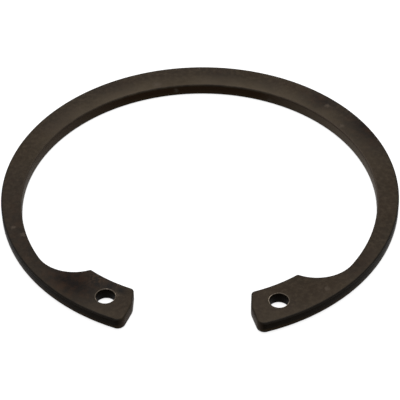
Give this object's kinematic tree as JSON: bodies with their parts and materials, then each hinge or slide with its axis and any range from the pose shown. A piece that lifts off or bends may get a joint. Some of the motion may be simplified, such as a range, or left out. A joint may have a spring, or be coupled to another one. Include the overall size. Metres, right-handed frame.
{
  "type": "internal circlip retaining ring",
  "caption": "Flat spring-steel snap ring for a bore: open round band, wider opposite the gap, with two inward lugs that have plier holes.",
  "frame": {"origin": "centre of the round outer edge of the free ring, on its lower face", "axes": "+Z along the bore's axis, from the lower face to the upper face; -Y from the centre to the middle of the gap between the lugs; +X to the right-hand lug seen from above"},
  "size_m": [0.0642, 0.0622, 0.002],
  "materials": {
    "phosphated_spring_steel": "dark brown-grey phosphate and oil, matt to satin"
  },
  "bodies": {
    "root": {"retaining_ring": "phosphated_spring_steel"}
  },
  "joints": []
}
